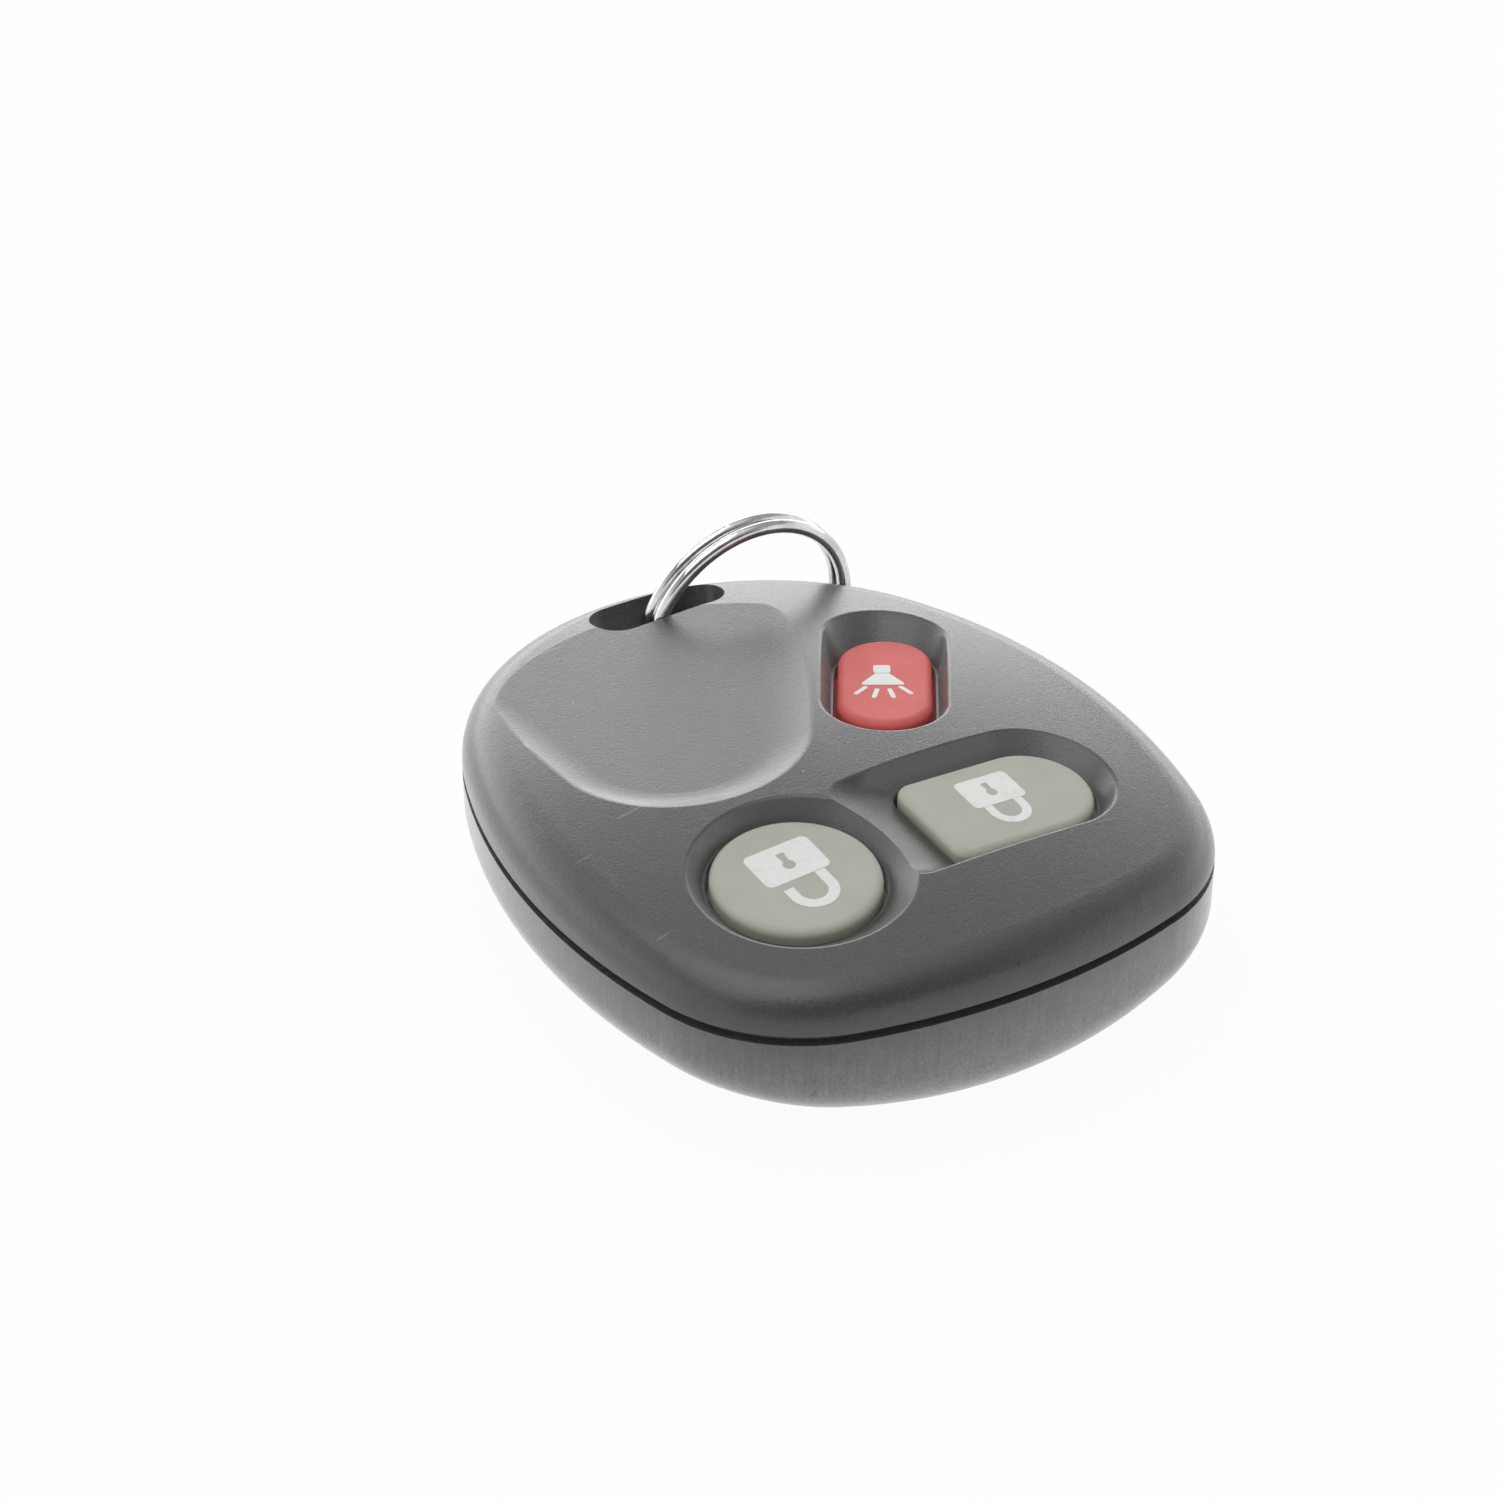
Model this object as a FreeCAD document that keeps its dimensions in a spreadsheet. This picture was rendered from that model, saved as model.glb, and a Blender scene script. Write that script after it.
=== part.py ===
import FreeCAD, Part
import math
import os
import Sketcher

from FreeCAD import Placement, Rotation, Vector

os.makedirs("parts", exist_ok=True)
doc = FreeCAD.newDocument("key_fob")

# Driving sizes in millimetres and degrees
SIZES = {
    "length": 56.5,
    "width": 47.6,
    "ring_end_share": 0.4517,
    "side_share": 1.0924,
    "corner_share": 0.2731,
    "tail_share": 1.0294,
    "belly_depth": 9.5,
    "belly_draft": 1,
    "belly_round_share": 0.0714,
    "belly_arch_share": 1.3655,
    "belly_sag_share": 2.584,
    "belly_middle": -5,
    "belly_flat": 0.3,
    "lift_start": 4,
    "end_thick": 4.4,
    "seam": 0.7,
    "seam_depth": 0.8,
    "crown_rise": 6.2,
    "crown_sag": 3.07,
    "top_draft": 2,
    "shoulder": 3.4,
    "wall": 1.6,
    "roof_under": 2.1,
    "rim_round": 0.3,
    "lip_round": 0.6,
    "scoop_radius": 13.4,
    "scoop_cove": 7,
    "scoop_x": -8.5,
    "scoop_share": 0.0805,
    "scoop_angle": 32,
    "scoop_level": 4.8,
    "scoop_pitch": 2.6,
    "scoop_roll": 1.6,
    "face_pitch": 6,
    "face_roll": 3,
    "face_round": 0.6,
    "key_gap": 0.3,
    "mouth_ledge": 0.15,
    "key_travel": 0.4,
    "flange_wide": 0.9,
    "flange_thick": 0.7,
    "flange_gap": 0.1,
    "stem_radius": 1.5,
    "unlock_x": -9.6,
    "unlock_share": 0.2345,
    "unlock_radius": 6,
    "unlock_face": 4.25,
    "unlock_rim": 5.06,
    "unlock_rim_radius": 8.3,
    "unlock_rim_shift": -0.7,
    "unlock_mouth": 3.4,
    "lock_x": 7.9,
    "lock_share": 0.2336,
    "lock_long": 13.4,
    "lock_high": 9,
    "lock_corner": 1.3,
    "lock_face": 4.45,
    "lock_rim": 5.3,
    "lock_rim_left": 14.4,
    "lock_rim_right": 9.1,
    "lock_rim_high": 12.1,
    "lock_rim_corner": 2.5,
    "lock_rim_shift": 0.55,
    "lock_mouth": 3.5,
    "panic_x": 9.7,
    "panic_share": 0.0805,
    "panic_turn": 56,
    "panic_long": 13.4,
    "panic_wide": 6.95,
    "panic_face": 4.4,
    "panic_pitch": 3.8,
    "panic_rim": 5.85,
    "panic_rim_long": 20.6,
    "panic_rim_wide": 9.5,
    "panic_mouth": 3.2,
    "slot_x": 1.7,
    "slot_back": 4.85,
    "slot_long": 11,
    "slot_wide": 4.4,
    "slot_flare": 0.6,
    "slot_wall": 1.3,
    "lip_gap": 0.1,
    "lip_thick": 0.8,
    "lip_rise": 1.2,
    "floor_drop": 5.9,
    "ring_floor": 3,
    "bay_long": 32,
    "bay_wide": 31,
    "post_radius": 1.7,
    "pin_radius": 0.7,
    "pin_gap": 0.08,
    "board_level": -2.6,
    "board_thick": 1,
    "board_inset": 3.2,
    "board_back": 9.65,
    "sheet_level": 0,
    "sheet_thick": 0.75,
    "sheet_round": 3,
    "stem_gap": 0.6,
    "switch_side": 4.5,
    "switch_tall": 1.6,
    "plunger_radius": 0.9,
    "plunger_gap": 0.06,
    "plunger_top": 0.4,
    "plunger_long": 0.85,
    "cell_x": -1,
    "cell_share": 0.1239,
    "cell_radius": 10,
    "cell_thick": 2.5,
    "cell_cap_radius": 8.8,
    "cell_cap_step": 0.4,
    "cell_bevel": 0.3,
    "cell_gap": 0.25,
    "cradle_thick": 1,
    "cradle_rise": 2,
    "contact_thick": 0.2,
    "contact_bump": 0.1,
    "contact_long": 9,
    "contact_wide": 5,
    "dimple_radius": 1.8,
    "strap_wide": 6,
    "strap_thick": 0.25,
    "strap_foot": 2,
    "sheet_x": -0.6,
    "sheet_share": 0.2336,
    "sheet_long": 33.4,
    "sheet_wide": 15.4,
    "arm_x": 6.6,
    "arm_share": 0.0177,
    "arm_long": 20,
    "arm_wide": 10,
    "chip_x": -9,
    "chip_back": 15.2,
    "chip_long": 5.2,
    "chip_wide": 4,
    "chip_tall": 1.4,
    "chip_lift": 0.1,
    "leg_wide": 0.4,
    "leg_long": 1,
    "leg_tall": 0.3,
    "leg_out": 0.3,
    "leg_pitch": 1.27,
    "resonator_x": -3,
    "resonator_back": 6,
    "can_foot_radius": 2.4,
    "can_foot_tall": 0.4,
    "can_radius": 2.1,
    "can_tall": 2,
    "trimmer_x": -13.6,
    "trimmer_back": 11.6,
    "trimmer_long": 3,
    "trimmer_wide": 2.6,
    "trimmer_tall": 1.1,
    "adjuster_radius": 0.9,
    "adjuster_tall": 1.4,
    "loop_x": 0.3,
    "loop_back": 3.5,
    "loop_wide": 19,
    "loop_deep": 6.2,
    "track_wide": 1,
    "track_thick": 0.3,
    "ring_x": 9,
    "ring_back": 5.65,
    "ring_height": 0.75,
    "ring_radius": 8.7,
    "ring_tilt": 6,
    "wire_wide": 1.05,
    "wire_thick": 1.1,
    "wire_gap": 0.06,
    "ring_seam": 193,
    "ring_jog": 28,
}

# Sizes that follow the outline: its radii from the width, places along Y from one of its ends
FOLLOWING = {
    "ring_end_radius": "=width * ring_end_share",
    "side_radius": "=width * side_share",
    "corner_radius": "=width * corner_share",
    "tail_radius": "=width * tail_share",
    "slot_y": "=length / 2 - slot_back",
    "ring_y": "=length / 2 - ring_back",
    "board_end": "=length / 2 - board_back",
    "unlock_y": "=-length * unlock_share",
    "lock_y": "=-length * lock_share",
    "panic_y": "=length * panic_share",
    "scoop_y": "=length * scoop_share",
    "cell_y": "=-length * cell_share",
    "sheet_y": "=-length * sheet_share",
    "arm_y": "=length * arm_share",
    "crown_radius": "=length * length / 8 / crown_sag",
    "chip_y": "=board_end - chip_back",
    "resonator_y": "=board_end - resonator_back",
    "trimmer_y": "=board_end - trimmer_back",
    "loop_y": "=board_end - loop_back",
    "belly_arch": "=width * belly_arch_share",
    "belly_sag": "=length * belly_sag_share",
    "belly_round": "=width * belly_round_share",
    "floor": "=belly_depth - floor_drop",
    "lift_reach": "=slot_y + slot_wide / 2 - lift_start",
    "lift_height": "=belly_depth - end_thick",
    "lift_radius": "=(lift_reach * lift_reach + lift_height * lift_height) / 2 / lift_height",
}
sheet = doc.addObject("Spreadsheet::Sheet", "dim")
for row, (alias, number) in enumerate({**SIZES, **FOLLOWING}.items(), 1):
    sheet.set(f"A{row}", alias)
    sheet.set(f"B{row}", str(number))
    sheet.setAlias(f"B{row}", alias)
doc.recompute()


def size(alias):
    return float(sheet.get(alias))


def origin_plane(body, role):
    return next(part for part in body.Origin.OriginFeatures if part.Role == role)


def bind(thing, pairs):
    for prop, formula in pairs.items():
        thing.setExpression(prop, formula)


def new_body(label):
    body = doc.addObject("PartDesign::Body", label + "_body")
    body.Label = label
    return body


def new_sketch(body, name, role="XY_Plane", place=None, formulas=None):
    sketch = body.newObject("Sketcher::SketchObject", name)
    sketch.AttachmentSupport = [(origin_plane(body, role), "")]
    sketch.MapMode = "FlatFace"
    if place:
        sketch.AttachmentOffset = place
    bind(sketch, {"AttachmentOffset.Base." + axis: text for axis, text in (formulas or {}).items()})
    return sketch


def rule(sketch, formula, *constraint):
    number = sketch.addConstraint(Sketcher.Constraint(*constraint))
    sketch.setExpression(f"Constraints[{number}]", formula)


def join_tangent(sketch, first, last):
    for index in range(first, last + 1):
        follower = index + 1 if index < last else first
        sketch.addConstraint(Sketcher.Constraint("Tangent", index, 2, follower, 1))


def arc(centre, radius, start, end):
    circle = Part.Circle(centre, Vector(0, 0, 1), radius)
    return Part.ArcOfCircle(circle, start, end)


def direction(start, end):
    return math.atan2(end.y - start.y, end.x - start.x)


# Plan outline of the fob, four tangent radii mirrored about Y, drawn inset from the outside
def draw_outline(sketch, inset, formula):
    end_r, side_r, corner_r, tail_r = (size(name) - inset for name in
                                       ("ring_end_radius", "side_radius", "corner_radius", "tail_radius"))
    ring_y = size("length") / 2 - size("ring_end_radius")
    tail_y = size("tail_radius") - size("length") / 2
    side_x = size("width") / 2 - size("side_radius")
    side_y = ring_y - math.sqrt((side_r - end_r) ** 2 - side_x ** 2)
    ring, tail, side = Vector(0, ring_y), Vector(0, tail_y), Vector(side_x, side_y)
    reach = tail.sub(side).Length
    along = ((side_r - corner_r) ** 2 - (tail_r - corner_r) ** 2 + reach ** 2) / (2 * reach)
    away = math.sqrt((side_r - corner_r) ** 2 - along ** 2)
    step = tail.sub(side).normalize()
    feet = [side + step * along + Vector(step.y, -step.x) * away * turn for turn in (1, -1)]
    corner = max(feet, key=lambda point: point.x)
    top = direction(side, ring)
    low = direction(side, corner)
    base = direction(tail, corner)
    flat = math.pi
    first = sketch.GeometryCount
    sketch.addGeometry([
        arc(ring, end_r, top, flat - top),
        arc(Vector(-side.x, side.y), side_r, flat - top, flat - low),
        arc(Vector(-corner.x, corner.y), corner_r, flat - low, flat - base),
        arc(tail, tail_r, -flat - base, base),
        arc(corner, corner_r, base, low),
        arc(side, side_r, low, top),
    ], False)
    join_tangent(sketch, first, first + 5)
    for index, name in enumerate(("ring_end_radius", "side_radius", "corner_radius", "tail_radius",
                                  "corner_radius", "side_radius"), first):
        rule(sketch, f"dim.{name} - ({formula})", "Radius", index, size(name) - inset)
    for index in (first, first + 3):
        sketch.addConstraint(Sketcher.Constraint("PointOnObject", index, 3, -2))
    rule(sketch, "dim.length / 2 - dim.ring_end_radius", "DistanceY", -1, 1, first, 3, ring_y)
    rule(sketch, "dim.tail_radius - dim.length / 2", "DistanceY", -1, 1, first + 3, 3, tail_y)
    rule(sketch, "dim.side_radius - dim.width / 2", "DistanceX", -1, 1, first + 1, 3, -side_x)
    rule(sketch, "dim.width / 2 - dim.side_radius", "DistanceX", -1, 1, first + 5, 3, side_x)


# Rounded bar, long side on X, centred on the sketch origin
def draw_bar(sketch, long, wide, long_formula, wide_formula):
    half, reach = wide / 2, (long - wide) / 2
    sketch.addGeometry([
        Part.LineSegment(Vector(-reach, -half), Vector(reach, -half)),
        arc(Vector(reach, 0), half, -math.pi / 2, math.pi / 2),
        Part.LineSegment(Vector(reach, half), Vector(-reach, half)),
        arc(Vector(-reach, 0), half, math.pi / 2, math.pi * 1.5),
    ], False)
    join_tangent(sketch, 0, 3)
    for index, sign in ((1, 1), (3, -1)):
        rule(sketch, f"({wide_formula}) / 2", "Radius", index, half)
        sketch.addConstraint(Sketcher.Constraint("PointOnObject", index, 3, -1))
        rule(sketch, f"{sign} * (({long_formula}) - ({wide_formula})) / 2",
             "DistanceX", -1, 1, index, 3, sign * reach)


# D shape: square left side with small corners, half-round right end
def draw_dee(sketch, left, right, high, corner, formulas):
    half = high / 2
    sketch.addGeometry([
        Part.LineSegment(Vector(corner - left, -half), Vector(right - half, -half)),
        arc(Vector(right - half, 0), half, -math.pi / 2, math.pi / 2),
        Part.LineSegment(Vector(right - half, half), Vector(corner - left, half)),
        arc(Vector(corner - left, half - corner), corner, math.pi / 2, math.pi),
        Part.LineSegment(Vector(-left, half - corner), Vector(-left, corner - half)),
        arc(Vector(corner - left, corner - half), corner, math.pi, math.pi * 1.5),
    ], False)
    join_tangent(sketch, 0, 5)
    left_f, right_f, high_f, corner_f = formulas
    rule(sketch, f"({high_f}) / 2", "Radius", 1, half)
    sketch.addConstraint(Sketcher.Constraint("PointOnObject", 1, 3, -1))
    rule(sketch, f"({right_f}) - ({high_f}) / 2", "DistanceX", -1, 1, 1, 3, right - half)
    for index, sign in ((3, 1), (5, -1)):
        rule(sketch, corner_f, "Radius", index, corner)
        rule(sketch, f"({corner_f}) - ({left_f})", "DistanceX", -1, 1, index, 3, corner - left)
        rule(sketch, f"{sign} * (({high_f}) / 2 - ({corner_f}))",
             "DistanceY", -1, 1, index, 3, sign * (half - corner))


def draw_circle(sketch, radius, formula, x="0", y="0", at=(0, 0)):
    index = sketch.addGeometry(Part.Circle(Vector(*at), Vector(0, 0, 1), radius), False)
    rule(sketch, formula, "Radius", index, radius)
    if x == "0" and y == "0":
        sketch.addConstraint(Sketcher.Constraint("Coincident", index, 3, -1, 1))
    else:
        rule(sketch, x, "DistanceX", -1, 1, index, 3, at[0])
        rule(sketch, y, "DistanceY", -1, 1, index, 3, at[1])


def draw_box(sketch, low_x, low_y, high_x, high_y):
    corners = [Vector(low_x, low_y), Vector(high_x, low_y), Vector(high_x, high_y), Vector(low_x, high_y)]
    for index in range(4):
        sketch.addGeometry(Part.LineSegment(corners[index], corners[(index + 1) % 4]), False)


def extrude(body, kind, sketch, name, formula=None, reverse=False, draft=None):
    feature = body.newObject("PartDesign::" + kind, name)
    feature.Profile = sketch
    feature.Reversed = reverse
    if formula:
        bind(feature, {"Length": formula})
    else:
        feature.Type = 1
    if draft:
        bind(feature, {"TaperAngle": draft})
    return feature


def between(body, name, low, high):
    loft = body.newObject("PartDesign::SubtractiveLoft", name)
    loft.Profile = low
    loft.Sections = [high]
    loft.Ruled = True
    return loft


def tilted(turn, pitch, roll):
    spin = Rotation(Vector(0, 0, 1), turn)
    return Placement(Vector(), spin * Rotation(Vector(1, 0, 0), pitch) * Rotation(Vector(0, 1, 0), roll))


def crown_height(x, y):
    radius = size("crown_radius")
    drop = radius - math.sqrt(radius ** 2 - x ** 2 - y ** 2)
    return size("belly_depth") + size("crown_rise") - drop


def round_edges(body, base, name, radius, wanted):
    doc.recompute()
    names = [f"Edge{n}" for n, edge in enumerate(base.Shape.Edges, 1) if wanted(edge)]
    fillet = body.newObject("PartDesign::Fillet", name)
    fillet.Base = (base, names)
    bind(fillet, {"Radius": radius})
    return fillet


KEYS = {
    "unlock": tilted(0, size("face_pitch"), -size("face_roll")),
    "lock": tilted(0, size("face_pitch"), size("face_roll")),
    "panic": tilted(size("panic_turn"), 0, size("panic_pitch")),
}
FLAT = {
    "unlock": Placement(),
    "lock": Placement(),
    "panic": tilted(size("panic_turn"), 0, 0),
}


def key_spot(key, level):
    return {"x": f"dim.{key}_x", "y": f"dim.{key}_y", "z": f"dim.belly_depth + {level}"}


# Outline of one key, grown all round by a clearance
def draw_key(sketch, key, grow, formula):
    if key == "unlock":
        draw_circle(sketch, size("unlock_radius") + grow, f"dim.unlock_radius + {formula}")
    elif key == "lock":
        half = size("lock_long") / 2 + grow
        draw_dee(sketch, half, half, size("lock_high") + 2 * grow, size("lock_corner") + grow,
                 (f"dim.lock_long / 2 + {formula}", f"dim.lock_long / 2 + {formula}",
                  f"dim.lock_high + 2 * ({formula})", f"dim.lock_corner + {formula}"))
    else:
        draw_bar(sketch, size("panic_long") + 2 * grow, size("panic_wide") + 2 * grow,
                 f"dim.panic_long + 2 * ({formula})", f"dim.panic_wide + 2 * ({formula})")


def draw_rim(sketch, key):
    if key == "unlock":
        draw_circle(sketch, size("unlock_rim_radius"), "dim.unlock_rim_radius")
    elif key == "lock":
        draw_dee(sketch, size("lock_rim_left"), size("lock_rim_right"), size("lock_rim_high"),
                 size("lock_rim_corner"),
                 ("dim.lock_rim_left", "dim.lock_rim_right", "dim.lock_rim_high", "dim.lock_rim_corner"))
    else:
        draw_bar(sketch, size("panic_rim_long"), size("panic_rim_wide"),
                 "dim.panic_rim_long", "dim.panic_rim_wide")


def on_crown(edge, lowest):
    points = [edge.valueAt(edge.FirstParameter + (edge.LastParameter - edge.FirstParameter) * share)
              for share in (0, 0.25, 0.5, 0.75, 1)]
    inner = edge.BoundBox.ZMin > lowest and edge.BoundBox.YMax < size("slot_y") - size("slot_wide")
    return inner and all(abs(crown_height(point.x, point.y) - point.z) < 0.01 for point in points)


# Rims of the key wells stay inside this box, the shoulder line outside it
def near_keys(edge):
    box = edge.BoundBox
    margin = size("shoulder") + 2
    return box.XMax < size("width") / 2 - margin + 1 and box.YMin > margin - size("length") / 2 \
        and box.XMin > margin - size("width") / 2


# Edges of the scoop lie this far in from the outline of the solid that cuts it
def on_scoop(edge):
    middle = edge.valueAt((edge.FirstParameter + edge.LastParameter) / 2)
    x, y = middle.x - size("scoop_x"), middle.y - size("scoop_y")
    lean = math.radians(size("scoop_angle"))
    beside = x * math.cos(lean) - y * math.sin(lean)
    out = math.hypot(x, y) if y < 0 and x * math.sin(lean) + y * math.cos(lean) < 0 else max(beside, -x)
    return out < size("scoop_radius") - size("scoop_cove") / 2 + 0.3


# Screwless posts, as shares of the width and the length
POSTS = ((-0.4076, -0.1239), (0.3866, -0.1062), (-0.2521, 0.2478), (0.2647, 0.2726))


def draw_posts(sketch, alias, formula, grow=0):
    for x, y in POSTS:
        draw_circle(sketch, size(alias) + grow, formula, f"dim.width * {x}", f"dim.length * {y}",
                    (size("width") * x, size("length") * y))


def slot_spot(level):
    return {"x": "dim.slot_x", "y": "dim.slot_y", "z": level}


# Slot for the key ring with its wall, flared away from the mouth
def add_slot(body, start, rise, down):
    tube = new_sketch(body, body.Label + "_tube", formulas=slot_spot(start))
    draw_bar(tube, size("slot_long") + 2 * size("slot_wall"), size("slot_wide") + 2 * size("slot_wall"),
             "dim.slot_long + 2 * dim.slot_wall", "dim.slot_wide + 2 * dim.slot_wall")
    extrude(body, "Pad", tube, body.Label + "_sleeve", rise, reverse=down)
    slot = new_sketch(body, body.Label + "_slot", formulas=slot_spot(start))
    draw_bar(slot, size("slot_long") + 2 * size("slot_flare"), size("slot_wide") + 2 * size("slot_flare"),
             "dim.slot_long + 2 * dim.slot_flare", "dim.slot_wide + 2 * dim.slot_flare")
    cut = extrude(body, "Pocket", slot, body.Label + "_slot_cut", "dim.belly_depth + dim.seam",
                  reverse=not down)
    if not down:
        flare = math.degrees(math.atan(size("slot_flare") / (size("crown_rise") - 1.8)))
        cut.TaperAngle = -flare


# Room for the slot's wall in a piece that lies round it
def cut_round_sleeve(body, name, start, depth):
    plan = new_sketch(body, name + "_plan", formulas=slot_spot(start))
    spare = size("slot_wall") + size("lip_gap")
    draw_bar(plan, size("slot_long") + 2 * spare, size("slot_wide") + 2 * spare,
             "dim.slot_long + 2 * (dim.slot_wall + dim.lip_gap)",
             "dim.slot_wide + 2 * (dim.slot_wall + dim.lip_gap)")
    extrude(body, "Pocket", plan, name, depth, reverse=True)


# The solid that the thumb scoop is cut with: a U outline whose lower edge is rounded into a cove
def make_scoop_form():
    body = new_body("scoop_form")
    plan = new_sketch(body, "scoop_plan", place=tilted(0, -size("scoop_pitch"), -size("scoop_roll")),
                      formulas={"x": "dim.scoop_x", "y": "dim.scoop_y",
                                "z": "dim.belly_depth + dim.scoop_level"})
    radius, lean = size("scoop_radius"), math.radians(size("scoop_angle"))
    far = size("length") * 0.75
    right = Vector(radius * math.cos(lean), -radius * math.sin(lean))
    ahead = right + Vector(math.sin(lean), math.cos(lean)) * far
    left = Vector(-radius, 0)
    plan.addGeometry([
        arc(Vector(), radius, math.pi, 2 * math.pi - lean),
        Part.LineSegment(right, ahead),
        Part.LineSegment(ahead, Vector(-radius, ahead.y)),
        Part.LineSegment(Vector(-radius, ahead.y), left),
    ], False)
    block = extrude(body, "Pad", plan, "scoop_block", "dim.scoop_cove * 1.5")
    ceiling = size("belly_depth") + size("scoop_level") + size("scoop_cove") / 2
    round_edges(body, block, "scoop_cove_round", "dim.scoop_cove",
                lambda edge: edge.BoundBox.ZMax < ceiling and edge.BoundBox.YMin < size("slot_y"))
    return body


def make_top_casing():
    body = new_body("top_casing")
    plan = new_sketch(body, "top_plan", formulas={"z": "dim.belly_depth + dim.seam / 2"})
    draw_outline(plan, 0, "0")
    extrude(body, "Pad", plan, "top_block", "dim.crown_rise + 1", draft="-dim.top_draft")
    bulge, reach, rise = size("crown_radius"), size("width"), 6
    dome = new_sketch(body, "dome", "XZ_Plane",
                      formulas={"y": "dim.belly_depth + dim.crown_rise - dim.crown_radius"})
    edge = math.sqrt(bulge ** 2 - reach ** 2)
    lean = math.asin(reach / bulge)
    dome.addGeometry([
        arc(Vector(), bulge, math.pi / 2 - lean, math.pi / 2 + lean),
        Part.LineSegment(Vector(-reach, edge), Vector(-reach, bulge + rise)),
        Part.LineSegment(Vector(-reach, bulge + rise), Vector(reach, bulge + rise)),
        Part.LineSegment(Vector(reach, bulge + rise), Vector(reach, edge)),
    ], False)
    crown = body.newObject("PartDesign::Groove", "crown")
    crown.Profile = dome
    crown.ReferenceAxis = (dome, ["H_Axis"])
    crown.Angle = 60
    crown.Midplane = True
    top = size("belly_depth") + size("seam")
    shoulder = round_edges(body, crown, "shoulder_round", "dim.shoulder",
                           lambda edge: edge.BoundBox.ZMin > top)
    for key in KEYS:
        low = new_sketch(body, key + "_mouth", place=KEYS[key], formulas=key_spot(key, f"dim.{key}_mouth"))
        draw_key(low, key, size("key_gap") + size("mouth_ledge"), "(dim.key_gap + dim.mouth_ledge)")
        spot = key_spot(key, f"dim.{key}_rim + 0.15")
        if key != "panic":
            spot["y"] = f"dim.{key}_y + dim.{key}_rim_shift"
        high = new_sketch(body, key + "_rim", place=KEYS[key], formulas=spot)
        draw_rim(high, key)
        doc.recompute()
        well = between(body, key + "_well", low, high)
    round_edges(body, well, "rim_round", "dim.rim_round",
                lambda edge: on_crown(edge, top) and near_keys(edge))
    hollow = body.newObject("PartDesign::Boolean", "scoop")
    hollow.Type = "Cut"
    hollow.setObjects([make_scoop_form()])
    round_edges(body, hollow, "scoop_lip", "dim.lip_round",
                lambda edge: on_crown(edge, top) and on_scoop(edge))
    for key in KEYS:
        hole = new_sketch(body, key + "_hole", place=FLAT[key],
                          formulas=key_spot(key, f"dim.{key}_mouth + 1"))
        draw_key(hole, key, size("key_gap"), "dim.key_gap")
        extrude(body, "Pocket", hole, key + "_opening", "dim.belly_depth")
    inside = new_sketch(body, "inside_plan", formulas={"z": "dim.belly_depth + dim.seam / 2"})
    draw_outline(inside, size("wall"), "dim.wall")
    extrude(body, "Pocket", inside, "inside", "dim.roof_under - dim.seam / 2", reverse=True)
    add_slot(body, "dim.belly_depth + dim.seam / 2", "dim.roof_under", False)
    posts = new_sketch(body, "post_plan", formulas={"z": BOARD_TOP})
    draw_posts(posts, "post_radius", "dim.post_radius")
    extrude(body, "Pad", posts, "posts", "dim.roof_under - dim.board_level - dim.board_thick + 0.2")
    bores = new_sketch(body, "bore_plan", formulas={"z": BOARD_TOP})
    draw_posts(bores, "pin_radius", "dim.pin_radius + dim.pin_gap", size("pin_gap"))
    extrude(body, "Pocket", bores, "pin_bores", "dim.board_thick + dim.pin_gap", reverse=True)
    return body


# The faint crease where the lift towards the ring starts runs between the two flanks
def crosses_belly(edge):
    return edge.BoundBox.XMin < -1 and edge.BoundBox.XMax > 1 and edge.BoundBox.YMax < size("slot_y")


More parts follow.
